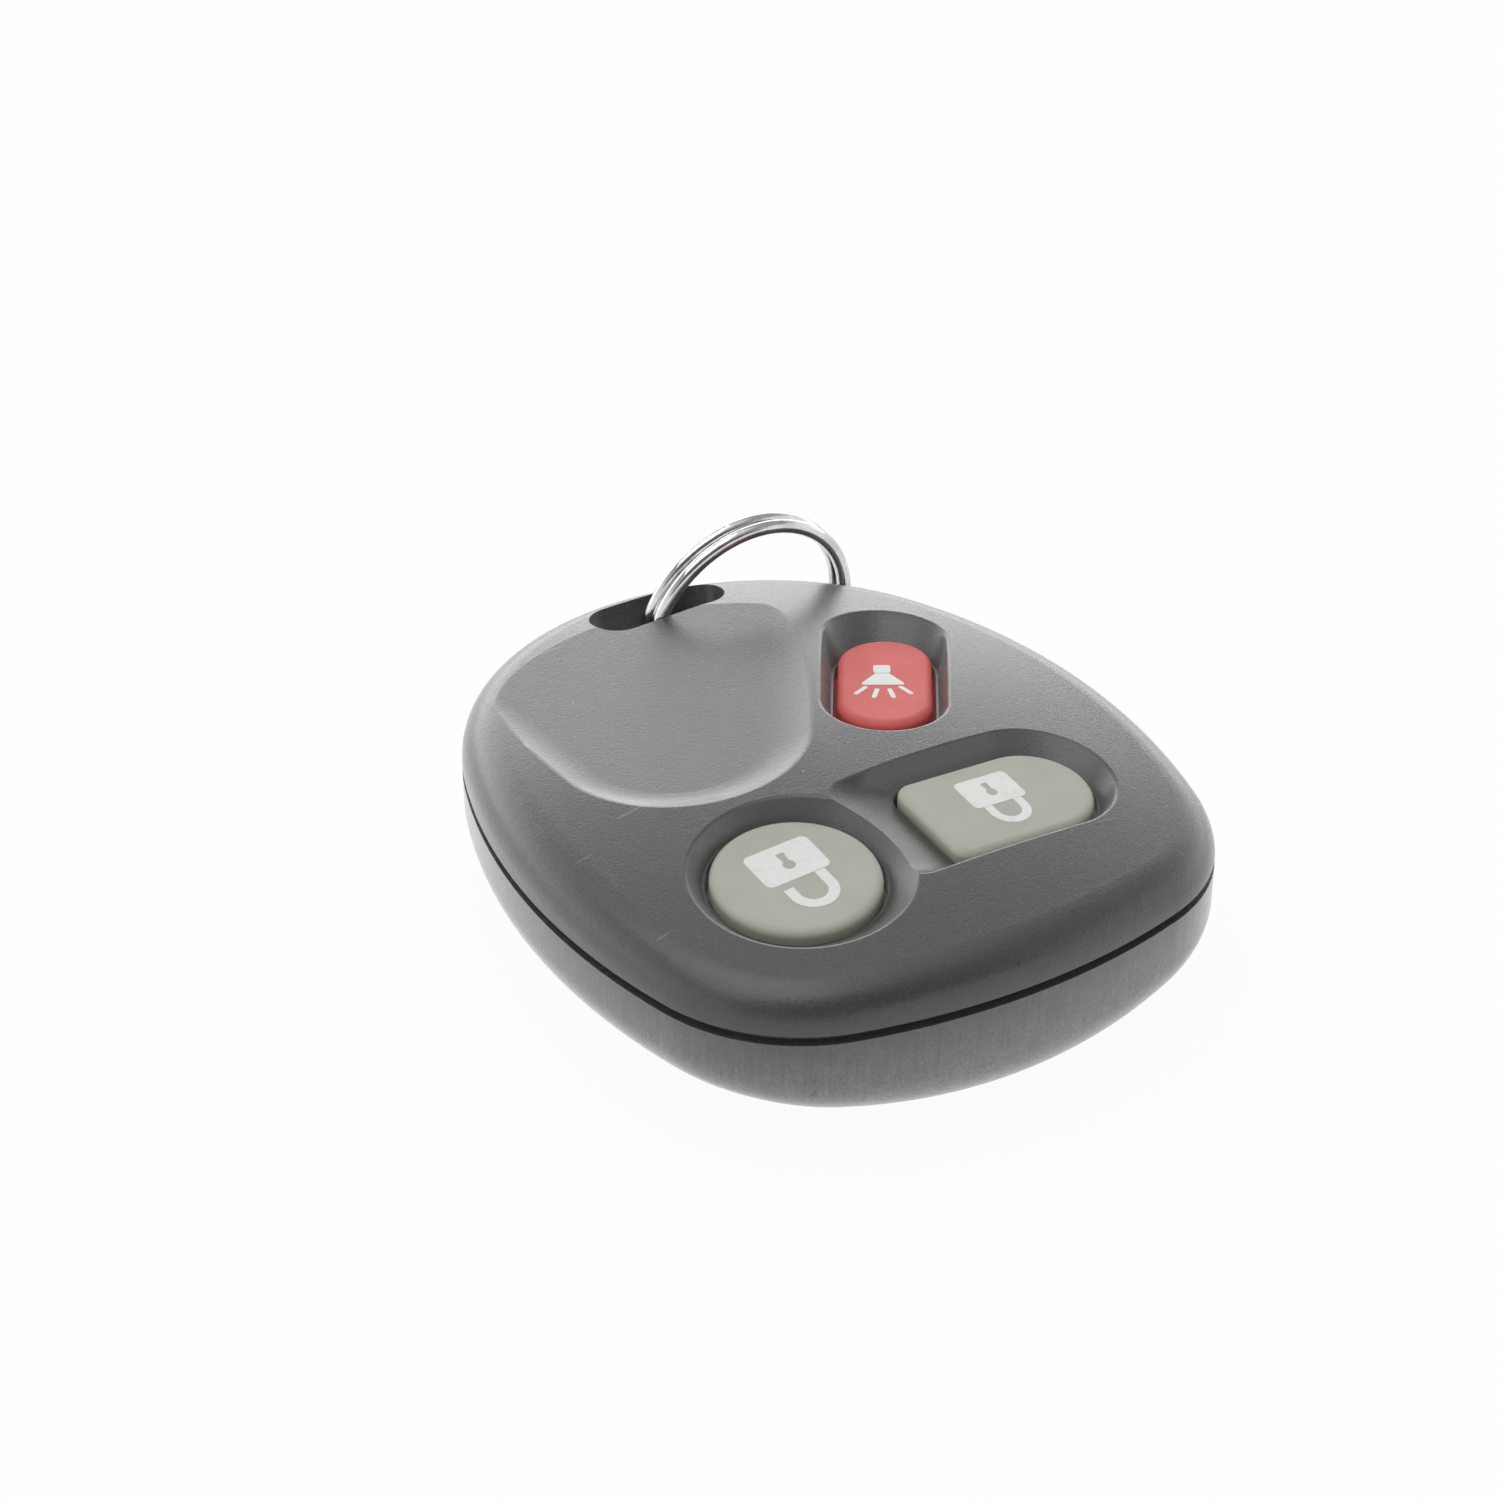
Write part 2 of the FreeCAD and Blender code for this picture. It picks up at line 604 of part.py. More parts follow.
def make_bottom_casing():
    body = new_body("bottom_casing")
    plan = new_sketch(body, "bottom_plan", formulas={"z": "dim.belly_depth - dim.seam / 2"})
    draw_outline(plan, 0, "0")
    extrude(body, "Pad", plan, "bottom_block", "dim.belly_depth - dim.seam / 2", True, "-dim.belly_draft")
    arch, sag, reach, drop = size("belly_arch"), size("belly_sag"), size("width") * 0.75, 6
    under = new_sketch(body, "underside", "XZ_Plane",
                       formulas={"y": "dim.belly_sag - dim.belly_flat", "z": "-dim.belly_middle"})
    lean = math.asin(reach / arch)
    low = arch - sag - math.sqrt(arch ** 2 - reach ** 2)
    under.addGeometry([
        arc(Vector(0, arch - sag), arch, -math.pi / 2 - lean, -math.pi / 2 + lean),
        Part.LineSegment(Vector(reach, low), Vector(reach, -sag - drop)),
        Part.LineSegment(Vector(reach, -sag - drop), Vector(-reach, -sag - drop)),
        Part.LineSegment(Vector(-reach, -sag - drop), Vector(-reach, low)),
    ], False)
    belly = body.newObject("PartDesign::Groove", "belly")
    belly.Profile = under
    belly.ReferenceAxis = (under, ["H_Axis"])
    belly.Angle = 30
    belly.Midplane = True
    keel = new_sketch(body, "keel", "YZ_Plane", formulas={"x": "dim.lift_start"})
    radius, far = size("lift_radius"), size("length") / 2
    angle = math.asin(far / radius)
    rise = radius * (1 - math.cos(angle))
    keel.addGeometry([
        arc(Vector(0, radius), radius, -math.pi / 2, angle - math.pi / 2),
        Part.LineSegment(Vector(far, rise), Vector(far, -1)),
        Part.LineSegment(Vector(far, -1), Vector(0, -1)),
        Part.LineSegment(Vector(0, -1), Vector(0, 0)),
    ], False)
    lift = extrude(body, "Pocket", keel, "ring_end_lift", "dim.width * 2")
    lift.Midplane = True
    high = size("belly_depth") - size("seam")
    round_edges(body, lift, "belly_round", "dim.belly_round",
                lambda edge: edge.BoundBox.ZMax < high and edge.BoundBox.ZMin > 0.05
                and not crosses_belly(edge))
    bay = new_sketch(body, "bay_plan", formulas={"z": "dim.belly_depth - dim.seam / 2"})
    draw_outline(bay, size("wall") + size("lip_gap"), "dim.wall + dim.lip_gap")
    extrude(body, "Pocket", bay, "bay", "dim.ring_floor - dim.seam / 2", draft="-dim.belly_draft")
    well = new_sketch(body, "cell_bay_plan",
                      formulas={"y": "dim.cell_y", "z": "dim.belly_depth - dim.seam / 2"})
    draw_bar(well, size("bay_long"), size("bay_wide"), "dim.bay_long", "dim.bay_wide")
    extrude(body, "Pocket", well, "cell_bay", "dim.belly_depth - dim.seam / 2 - dim.floor")
    lip = new_sketch(body, "lip_plan", formulas={"z": "dim.belly_depth + dim.lip_rise"})
    outer = "dim.wall + dim.lip_gap"
    draw_outline(lip, size("wall") + size("lip_gap"), outer)
    draw_outline(lip, size("wall") + size("lip_gap") + size("lip_thick"), outer + " + dim.lip_thick")
    extrude(body, "Pad", lip, "lip", "dim.lip_rise + dim.seam / 2 + 1", reverse=True)
    cut_round_sleeve(body, "lip_relief", "dim.belly_depth + dim.seam / 2", "dim.lip_rise")
    cradle = new_sketch(body, "cradle_plan",
                        formulas={"x": "dim.cell_x", "y": "dim.cell_y", "z": "dim.floor"})
    inner = size("cell_radius") + size("cell_gap")
    draw_circle(cradle, inner, "dim.cell_radius + dim.cell_gap")
    draw_circle(cradle, inner + size("cradle_thick"), "dim.cell_radius + dim.cell_gap + dim.cradle_thick")
    extrude(body, "Pad", cradle, "cradle", "dim.cradle_rise")
    posts = new_sketch(body, "stand_plan", formulas={"z": "dim.belly_depth + dim.board_level"})
    draw_posts(posts, "post_radius", "dim.post_radius")
    extrude(body, "Pad", posts, "stands", "dim.ring_floor + dim.board_level + 0.2", reverse=True)
    pins = new_sketch(body, "pin_plan", formulas={"z": "dim.belly_depth + dim.board_level"})
    draw_posts(pins, "pin_radius", "dim.pin_radius")
    extrude(body, "Pad", pins, "pins", "dim.board_thick * 2 - dim.pin_gap")
    add_slot(body, "dim.belly_depth + dim.seam / 2", "dim.ring_floor + dim.seam / 2 + 0.2", True)
    return body


def make_key(key):
    body = new_body(key + "_button")
    top = "dim.roof_under - dim.flange_gap"
    cap = new_sketch(body, key + "_cap_plan", place=FLAT[key],
                     formulas=key_spot(key, f"{top} - dim.flange_thick"))
    draw_key(cap, key, 0, "0")
    block = extrude(body, "Pad", cap, key + "_cap", "dim.crown_rise")
    face = new_sketch(body, key + "_face_plan", place=KEYS[key], formulas=key_spot(key, f"dim.{key}_face"))
    draw_circle(face, 12, "12")
    trimmed = extrude(body, "Pocket", face, key + "_face", "dim.crown_rise", reverse=True)
    above = size("belly_depth") + size("roof_under") + 0.3
    round_edges(body, trimmed, key + "_face_round", "dim.face_round",
                lambda edge: edge.BoundBox.ZMin > above)
    flange = new_sketch(body, key + "_flange_plan", place=FLAT[key],
                        formulas=key_spot(key, f"{top} - dim.flange_thick"))
    draw_key(flange, key, size("flange_wide"), "dim.flange_wide")
    extrude(body, "Pad", flange, key + "_flange", "dim.flange_thick")
    stem = new_sketch(body, key + "_stem_plan", formulas=key_spot(key, f"{top} - dim.flange_thick"))
    draw_circle(stem, size("stem_radius"), "dim.stem_radius")
    extrude(body, "Pad", stem, key + "_stem", f"{top} - dim.flange_thick - dim.plunger_top", True)
    return body


def make_seal():
    body = new_body("parting_seal")
    band = new_sketch(body, "seal_plan", formulas={"z": "dim.belly_depth - dim.seam / 2"})
    draw_outline(band, size("seam_depth"), "dim.seam_depth")
    draw_outline(band, size("wall"), "dim.wall")
    extrude(body, "Pad", band, "seal_band", "dim.seam")
    cut_round_sleeve(body, "seal_relief", "dim.belly_depth - dim.seam / 2", "dim.seam")
    return body


def make_keypad_sheet():
    body = new_body("keypad_sheet")
    place = {"z": "dim.belly_depth + dim.sheet_level"}
    lower = new_sketch(body, "sheet_plan", formulas=dict(place, x="dim.sheet_x", y="dim.sheet_y"))
    draw_bar(lower, size("sheet_long"), size("sheet_wide"), "dim.sheet_long", "dim.sheet_wide")
    extrude(body, "Pad", lower, "sheet", "dim.sheet_thick")
    upper = new_sketch(body, "sheet_arm_plan", place=FLAT["panic"],
                       formulas=dict(place, x="dim.arm_x", y="dim.arm_y"))
    draw_bar(upper, size("arm_long"), size("arm_wide"), "dim.arm_long", "dim.arm_wide")
    extrude(body, "Pad", upper, "sheet_arm", "dim.sheet_thick")
    for key in KEYS:
        hole = new_sketch(body, key + "_sheet_hole_plan", formulas=key_spot(key, "dim.sheet_level"))
        draw_circle(hole, size("stem_radius") + size("stem_gap"), "dim.stem_radius + dim.stem_gap")
        extrude(body, "Pocket", hole, key + "_sheet_hole", "dim.sheet_thick", reverse=True)
    return body


def make_circuit_board():
    body = new_body("circuit_board")
    plan = new_sketch(body, "board_plan", formulas={"z": "dim.belly_depth + dim.board_level"})
    draw_outline(plan, size("board_inset"), "dim.board_inset")
    extrude(body, "Pad", plan, "board", "dim.board_thick")
    end = new_sketch(body, "board_end_plan", formulas={"y": "dim.board_end",
                                                       "z": "dim.belly_depth + dim.board_level"})
    half = size("width") / 2
    draw_box(end, -half, 0, half, size("length") / 2)
    extrude(body, "Pocket", end, "board_end_cut", "dim.board_thick", reverse=True)
    holes = new_sketch(body, "board_hole_plan", formulas={"z": "dim.belly_depth + dim.board_level"})
    draw_posts(holes, "pin_radius", "dim.pin_radius + dim.pin_gap", size("pin_gap"))
    extrude(body, "Pocket", holes, "board_holes", "dim.board_thick", reverse=True)
    return body


def set_base(thing, x, y, z):
    bind(thing, {"Placement.Base.x": x, "Placement.Base.y": y, "Placement.Base.z": z})


def block(name, lengths, centre, base):
    box = doc.addObject("Part::Box", name)
    bind(box, dict(zip(("Length", "Width", "Height"), lengths)))
    set_base(box, f"{centre[0]} - ({lengths[0]}) / 2", f"{centre[1]} - ({lengths[1]}) / 2", base)
    return box


def disc(name, radius, height, centre, base):
    cylinder = doc.addObject("Part::Cylinder", name)
    bind(cylinder, {"Radius": radius, "Height": height})
    set_base(cylinder, centre[0], centre[1], base)
    return cylinder


def combine(kind, label, shapes):
    joined = doc.addObject("Part::" + kind, label + "_shape")
    if kind == "Cut":
        joined.Base, joined.Tool = shapes
    elif kind == "Compound":
        joined.Links = shapes
    else:
        joined.Shapes = shapes
    joined.Label = label
    return joined


BOARD_TOP = "dim.belly_depth + dim.board_level + dim.board_thick"
BOARD_UNDER = "dim.belly_depth + dim.board_level"


def make_switch(key):
    centre = (f"dim.{key}_x", f"dim.{key}_y")
    housing = block(key + "_switch_block", ("dim.switch_side", "dim.switch_side", "dim.switch_tall"),
                    centre, BOARD_TOP)
    bore = disc(key + "_switch_bore", "dim.plunger_radius + dim.plunger_gap", "dim.switch_tall", centre,
                "dim.belly_depth + dim.plunger_top - dim.plunger_long - dim.key_travel - 0.15")
    return combine("Cut", key + "_switch", (housing, bore))


def make_plunger(key):
    plunger = disc(key + "_plunger", "dim.plunger_radius", "dim.plunger_long",
                   (f"dim.{key}_x", f"dim.{key}_y"),
                   "dim.belly_depth + dim.plunger_top - dim.plunger_long")
    return plunger


CELL = ("dim.cell_x", "dim.cell_y")
CELL_UNDER = "dim.floor + dim.contact_thick + dim.contact_bump"


def make_cell():
    body = new_body("coin_cell")
    profile = new_sketch(body, "cell_profile", "XZ_Plane",
                         formulas={"x": "dim.cell_x", "y": CELL_UNDER, "z": "-dim.cell_y"})
    radius, cap, step, tall = (size(name) for name in
                               ("cell_radius", "cell_cap_radius", "cell_cap_step", "cell_thick"))
    bevel = size("cell_bevel")
    steps = [(0, 0), (cap, 0), (cap, step), (radius, step), (radius, tall - bevel),
             (radius - bevel, tall), (0, tall)]
    for index, point in enumerate(steps):
        following = steps[(index + 1) % len(steps)]
        profile.addGeometry(Part.LineSegment(Vector(*point), Vector(*following)), False)
    turn = body.newObject("PartDesign::Revolution", "cell_turn")
    turn.Profile = profile
    turn.ReferenceAxis = (profile, ["V_Axis"])
    turn.Angle = 360
    return body


def make_cell_strap():
    top = CELL_UNDER + " + dim.cell_thick"
    across = "2 * (dim.cell_radius + dim.strap_foot)"
    plate = block("strap_plate", (across, "dim.strap_wide", "dim.strap_thick"), CELL, top)
    feet = [block(f"strap_foot_{side}", ("dim.strap_foot", "dim.strap_wide", f"{BOARD_UNDER} - ({top})"),
                  (f"dim.cell_x + {sign} * (dim.cell_radius + dim.strap_foot / 2)", "dim.cell_y"), top)
            for side, sign in (("left", -1), ("right", 1))]
    return combine("MultiFuse", "cell_strap", [plate] + feet)


def make_cell_contact():
    plate = block("contact_plate", ("dim.contact_long", "dim.contact_wide", "dim.contact_thick"),
                  CELL, "dim.floor")
    bump = disc("contact_dimple", "dim.dimple_radius", "dim.contact_bump + dim.contact_thick",
                CELL, "dim.floor")
    return combine("MultiFuse", "cell_contact", [plate, bump])


CHIP = ("dim.chip_x", "dim.chip_y")


def make_encoder_chip():
    case = block("chip_case", ("dim.chip_long", "dim.chip_wide", "dim.chip_tall"), CHIP,
                 BOARD_TOP + " + dim.chip_lift")
    legs = [block(f"chip_leg_{side}_{step}", ("dim.leg_wide", "dim.leg_long", "dim.leg_tall"),
                  (f"dim.chip_x + {step - 1.5} * dim.leg_pitch",
                   f"dim.chip_y + {sign} * (dim.chip_wide / 2 + dim.leg_out)"), BOARD_TOP)
            for side, sign in (("front", -1), ("back", 1)) for step in range(4)]
    return combine("MultiFuse", "encoder_chip", [case] + legs)


def make_resonator():
    centre = ("dim.resonator_x", "dim.resonator_y")
    foot = disc("resonator_foot", "dim.can_foot_radius", "dim.can_foot_tall", centre, BOARD_TOP)
    can = disc("resonator_can_shell", "dim.can_radius", "dim.can_tall", centre, BOARD_TOP)
    return combine("MultiFuse", "resonator_can", [foot, can])


def make_trimmer():
    centre = ("dim.trimmer_x", "dim.trimmer_y")
    case = block("trimmer_case", ("dim.trimmer_long", "dim.trimmer_wide", "dim.trimmer_tall"),
                 centre, BOARD_TOP)
    screw = disc("trimmer_screw", "dim.adjuster_radius", "dim.adjuster_tall", centre, BOARD_TOP)
    return combine("MultiFuse", "tuning_trimmer", [case, screw])


def make_antenna():
    bars = [block(f"antenna_{side}", ("dim.track_wide", "dim.loop_deep", "dim.track_thick"),
                  (f"dim.loop_x + {sign} * (dim.loop_wide - dim.track_wide) / 2", "dim.loop_y"), BOARD_TOP)
            for side, sign in (("left", -1), ("right", 1))]
    end = block("antenna_end", ("dim.loop_wide", "dim.track_wide", "dim.track_thick"),
                ("dim.loop_x", "dim.loop_y + (dim.loop_deep - dim.track_wide) / 2"), BOARD_TOP)
    return combine("MultiFuse", "antenna_loop", bars + [end])


# Places on the board along X and back from its ring end
RESISTORS = ((-13, 19.6), (-13, 18), (-13, 16.4), (-5.2, 19), (-5.2, 17.4), (0.4, 11.2), (0.4, 9.6), (0.4, 8))
CAPACITORS = ((-9, 10), (-7, 10), (-5, 10), (4.4, 5), (4.4, 3.4), (-0.8, 20))


def make_chips(label, places, lengths):
    chips = [block(f"{label}_{index}", lengths, (str(x), f"dim.board_end - {back}"), BOARD_TOP)
             for index, (x, back) in enumerate(places)]
    return combine("Compound", label, chips)


# Split ring: two flat turns joined by one short step, swept as a single wire
def make_split_ring():
    radius, half = size("ring_radius"), (size("wire_wide") + size("wire_gap")) / 2
    start, jog = size("ring_seam"), size("ring_jog")
    total = 720 - jog
    count = 96
    points = []
    for step in range(count + 1):
        travel = total * step / count
        share = min(max((travel - (360 - jog)) / jog, 0), 1)
        across = half - 2 * half * share * share * (3 - 2 * share)
        angle = math.radians(start + travel)
        points.append(Vector(radius * math.cos(angle), radius * math.sin(angle), across))
    path = Part.BSplineCurve()
    path.interpolate(points)
    first = math.radians(start)
    out = Vector(math.cos(first), math.sin(first), 0)
    section = Part.Ellipse(points[0] + out * size("wire_thick") / 2,
                           points[0] + Vector(0, 0, size("wire_wide") / 2), points[0])
    pipe = Part.BRepOffsetAPI.MakePipeShell(Part.Wire(path.toShape()))
    pipe.setBiNormalMode(Vector(0, 0, 1))
    pipe.add(Part.Wire(section.toShape()))
    pipe.build()
    pipe.makeSolid()
    ring = doc.addObject("Part::Feature", "split_ring")
    ring.Shape = pipe.shape()
    ring.Placement = Placement(Vector(), Rotation(Vector(1, 0, 0), 90 + size("ring_tilt")))
    set_base(ring, "dim.ring_x", "dim.ring_y", "dim.belly_depth + dim.ring_height")
    return ring


nodes = [make_top_casing(), make_bottom_casing(), make_seal()]
nodes += [make_key(key) for key in KEYS]
nodes += [make_keypad_sheet(), make_circuit_board()]
nodes += [make_switch(key) for key in KEYS]
nodes += [make_plunger(key) for key in KEYS]
nodes += [make_cell(), make_cell_strap(), make_cell_contact(), make_encoder_chip(), make_resonator(),
          make_trimmer(), make_antenna()]
nodes += [make_chips("chip_resistors", RESISTORS, ("1.6", "0.8", "0.45")),
          make_chips("chip_capacitors", CAPACITORS, ("1.2", "2", "0.9")), make_split_ring()]
doc.recompute()

faults = [thing.Name for thing in doc.Objects if "Invalid" in thing.State or "Error" in thing.State]
faults += [node.Label for node in nodes if node.Shape.isNull() or not node.Shape.isValid()]
if faults:
    raise RuntimeError("features that failed: " + ", ".join(faults))
for node in nodes:
    box = node.Shape.optimalBoundingBox()
    print(node.Label, len(node.Shape.Solids), round(node.Shape.Volume, 1),
          [round(v, 2) for v in (box.XMin, box.XMax, box.YMin, box.YMax, box.ZMin, box.ZMax)])
    node.Shape.exportStep("parts/" + node.Label + ".step")
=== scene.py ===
import math

import bmesh
import bpy
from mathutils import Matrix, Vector
from mathutils.bvhtree import BVHTree


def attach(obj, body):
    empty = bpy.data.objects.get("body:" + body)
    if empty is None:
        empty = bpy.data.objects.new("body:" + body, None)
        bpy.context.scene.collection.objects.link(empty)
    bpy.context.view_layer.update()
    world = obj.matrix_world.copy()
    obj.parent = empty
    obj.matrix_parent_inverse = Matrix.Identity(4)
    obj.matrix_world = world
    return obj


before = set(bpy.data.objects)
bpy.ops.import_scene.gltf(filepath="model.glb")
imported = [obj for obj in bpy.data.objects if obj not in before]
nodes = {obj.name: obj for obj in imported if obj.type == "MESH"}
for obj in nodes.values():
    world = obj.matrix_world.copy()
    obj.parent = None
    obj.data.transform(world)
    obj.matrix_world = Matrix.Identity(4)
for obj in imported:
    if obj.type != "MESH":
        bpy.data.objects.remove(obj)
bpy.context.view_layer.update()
print("frame loaded:", len(nodes), "nodes")

mm = 0.001


def addObject(name, data):
    thing = bpy.data.objects.new(name, data)
    bpy.context.scene.collection.objects.link(thing)
    return thing


# camera at the angle of the photograph, its two points in millimetres
camera = {
    "place": (-145.8, -221.2, 179.1),
    "looksAt": (0.0, 7.7, 9.5),
    "lens": 104.9,
    "sensor": 36,
    "clip": (0.01, 20),
}


def makeCamera():
    data = bpy.data.cameras.new("camera")
    data.lens = camera["lens"]
    data.sensor_width = camera["sensor"]
    data.sensor_fit = "HORIZONTAL"
    data.clip_start, data.clip_end = camera["clip"]
    eye = addObject("camera", data)
    eye.location = Vector(camera["place"]) * mm
    gaze = (Vector(camera["looksAt"]) - Vector(camera["place"])).normalized()
    eye.rotation_euler = gaze.to_track_quat("-Z", "Y").to_euler()
    bpy.context.scene.camera = eye


makeCamera()
print("camera set")


# node helpers: a noise is given by its scale, detail, roughness and stretch
noiseSpan = (0.3, 0.7)  # where most of a noise's values lie


def startMaterial(name):
    material = bpy.data.materials.new(name)
    material.use_nodes = True
    tree = material.node_tree
    tree.nodes.clear()
    out = tree.nodes.new("ShaderNodeOutputMaterial")
    shader = tree.nodes.new("ShaderNodeBsdfPrincipled")
    tree.links.new(shader.outputs["BSDF"], out.inputs["Surface"])
    return material, tree, shader


def grey(level):
    return (level, level, level)


def fill(tree, socket, value):
    if hasattr(value, "is_output"):
        tree.links.new(value, socket)
    elif hasattr(value, "__len__"):
        socket.default_value = (*value, 1)
    else:
        socket.default_value = value


def placed(tree, scale=(1, 1, 1)):
    where = tree.nodes.new("ShaderNodeTexCoord")
    fit = tree.nodes.new("ShaderNodeMapping")
    fit.inputs["Scale"].default_value = scale
    tree.links.new(where.outputs["Object"], fit.inputs["Vector"])
    return fit.outputs["Vector"]


def axesOf(tree, vector):
    split = tree.nodes.new("ShaderNodeSeparateXYZ")
    tree.links.new(vector, split.inputs["Vector"])
    return split.outputs


def faceDirection(tree):
    normal = tree.nodes.new("ShaderNodeNewGeometry")
    return axesOf(tree, normal.outputs["Normal"])


def noise(tree, scale, detail, rough, stretch=(1, 1, 1)):
    grain = tree.nodes.new("ShaderNodeTexNoise")
    grain.inputs["Scale"].default_value = scale
    grain.inputs["Detail"].default_value = detail
    grain.inputs["Roughness"].default_value = rough
    tree.links.new(placed(tree, stretch), grain.inputs["Vector"])
    return grain.outputs["Fac"]


def tones(tree, value, dark, light, span=noiseSpan):
    band = tree.nodes.new("ShaderNodeValToRGB")
    for cell, spot, colour in zip(band.color_ramp.elements, span, (dark, light)):
        cell.position = spot
        cell.color = (*colour, 1)
    tree.links.new(value, band.inputs["Fac"])
    return band.outputs["Color"]


def between(tree, value, reach, span=(0, 1)):
    fit = tree.nodes.new("ShaderNodeMapRange")
    fit.inputs["From Min"].default_value, fit.inputs["From Max"].default_value = span
    fit.inputs["To Min"].default_value, fit.inputs["To Max"].default_value = reach
    tree.links.new(value, fit.inputs["Value"])
    return fit.outputs["Result"]


def rising(tree, value, span):
    return between(tree, value, (0, 1), span)


def falling(tree, value, span):
    return between(tree, value, (1, 0), span)


def blendColours(tree, share, first, second, way="MIX"):
    mix = tree.nodes.new("ShaderNodeMix")
    mix.data_type = "RGBA"
    mix.blend_type = way
    for socket, value in ((mix.inputs[0], share), (mix.inputs[6], first), (mix.inputs[7], second)):
        fill(tree, socket, value)
    return mix.outputs[2]


def tinted(tree, first, second):
    return blendColours(tree, 1.0, first, second, "MULTIPLY")


def maths(tree, way, *values):
    result = values[0]
    for value in values[1:]:
        step = tree.nodes.new("ShaderNodeMath")
        step.operation = way
        fill(tree, step.inputs[0], result)
        fill(tree, step.inputs[1], value)
        result = step.outputs[0]
    return result


def bump(tree, shader, height, depth, socket="Normal"):
    dent = tree.nodes.new("ShaderNodeBump")
    dent.inputs["Distance"].default_value = depth
    tree.links.new(height, dent.inputs["Height"])
    tree.links.new(dent.outputs["Normal"], shader.inputs[socket])


# moulded casing plastic: spark-eroded grain under a satin skin, and drawn streaks beside the seam
casingLook = {
    "dark": (0.030, 0.030, 0.031),
    "light": (0.041, 0.041, 0.042),
    "upper": {"lift": 1.25, "haze": 0.25},
    # painted light: the lower casing is the same plastic painted lighter by its larger lift, standing in for
    # light from the floor below
    "lower": {"lift": 3.2, "haze": 0.80},
    "mottle": (900, 3, 0.6),
    "grain": (4300, 5, 0.7),
    "grainShades": (grey(0.72), grey(1.30)),
    "grainSpan": (0.35, 0.65),
    "grainDepth": 0.000080,
    "rough": (0.24, 0.42),
    "gloss": 0.60,
    "hazeRough": 0.30,
    "skin": 0.90,
    "skinRough": 0.20,
    "skinDepth": 0.000016,
    "streaks": (3600, 3, 0.55, (1, 1, 0.05)),
    "streakShades": (grey(0.85), grey(1.17)),
    "streakSpan": (0.35, 0.7),
    "streakDepth": 0.000018,
    "streakTilt": (0.12, 0.42),
    "streakFoot": (0.0040, 0.0060),
    "streakHead": (0.0108, 0.0122),
    # painted light and shade: colour darkened near the seam and lightened towards the bottom, standing in for
    # light from the floor below
    "foot": (0.46, 2.3),
    "footBand": (0.0088, 0.0016),
}

# painted light: the steep walls of the three key wells and of the ring slot are painted lighter, each oval by
# its centre and its half widths
wellPaintedLight = {
    "tone": 3.4,
    "ovals": [((-0.0096, -0.01325), (0.0092, 0.0092)), ((0.0079, -0.0132), (0.0108, 0.0088)),
              ((0.0097, 0.0046), (0.0086, 0.0096)), ((0.0017, 0.0234), (0.0078, 0.00305))],
    "ovalEdge": (0.97, 1.05),
    "steep": (0.70, 0.90),
    "above": (0.0106, 0.0116),
}

# light scuffs and dust, over everything else
wearLook = {
    "scuff": grey(0.085),
    "rubbed": (260, 2, 0.4, (0.35, 1.9, 1)),
    "rubbedFrom": (0.655, 0.665),
    "lines": (900, 1, 0.3, (0.08, 1.6, 1)),
    "linesFrom": (0.715, 0.730),
    "speck": (0.42, 0.42, 0.43),
    "dust": 420,
    "dustFrom": (0.80, 0.81),
    "dustSize": (0.020, 0.032),
}


def insideOval(tree, centre, reach):
    where = tree.nodes.new("ShaderNodeTexCoord")
    fit = tree.nodes.new("ShaderNodeMapping")
    fit.vector_type = "TEXTURE"
    fit.inputs["Location"].default_value = (*centre, 0)
    fit.inputs["Scale"].default_value = (*reach, 1)
    tree.links.new(where.outputs["Object"], fit.inputs["Vector"])
    away = tree.nodes.new("ShaderNodeVectorMath")
    away.operation = "LENGTH"
    tree.links.new(fit.outputs["Vector"], away.inputs[0])
    return falling(tree, away.outputs["Value"], wellPaintedLight["ovalEdge"])


# painted light: colour on the steep well and slot walls is raised by the tone factor, standing in for light
# that reaches into these recesses
def paintedLightWells(tree, shade, tilt, place, light):
    ovals = [insideOval(tree, centre, reach) for centre, reach in wellPaintedLight["ovals"]]
    inner = maths(tree, "MAXIMUM", *ovals)
    steep = falling(tree, tilt["Z"], wellPaintedLight["steep"])
    above = rising(tree, place["Z"], wellPaintedLight["above"])
    inner = maths(tree, "MULTIPLY", inner, steep, above)
    return blendColours(tree, inner, shade, [c * wellPaintedLight["tone"] for c in light])


# painted light and shade: darker near the seam, lighter towards the bottom, as if lit from the floor below
def underPaintedLight(tree, shade, place):
    foot = between(tree, place["Z"], casingLook["foot"], casingLook["footBand"])
    under = tree.nodes.new("ShaderNodeCombineColor")
    for socket in ("Red", "Green", "Blue"):
        tree.links.new(foot, under.inputs[socket])
    return tinted(tree, shade, under.outputs["Color"])


def wornPlastic(tree, shade):
    rub = rising(tree, noise(tree, *wearLook["rubbed"]), wearLook["rubbedFrom"])
    line = rising(tree, noise(tree, *wearLook["lines"]), wearLook["linesFrom"])
    shade = blendColours(tree, maths(tree, "MULTIPLY", rub, line), shade, wearLook["scuff"])
    dust = tree.nodes.new("ShaderNodeTexVoronoi")
    dust.inputs["Scale"].default_value = wearLook["dust"]
    tree.links.new(placed(tree), dust.inputs["Vector"])
    few = rising(tree, dust.outputs["Color"], wearLook["dustFrom"])
    mote = maths(tree, "MULTIPLY", falling(tree, dust.outputs["Distance"], wearLook["dustSize"]), few)
    return blendColours(tree, mote, shade, wearLook["speck"])


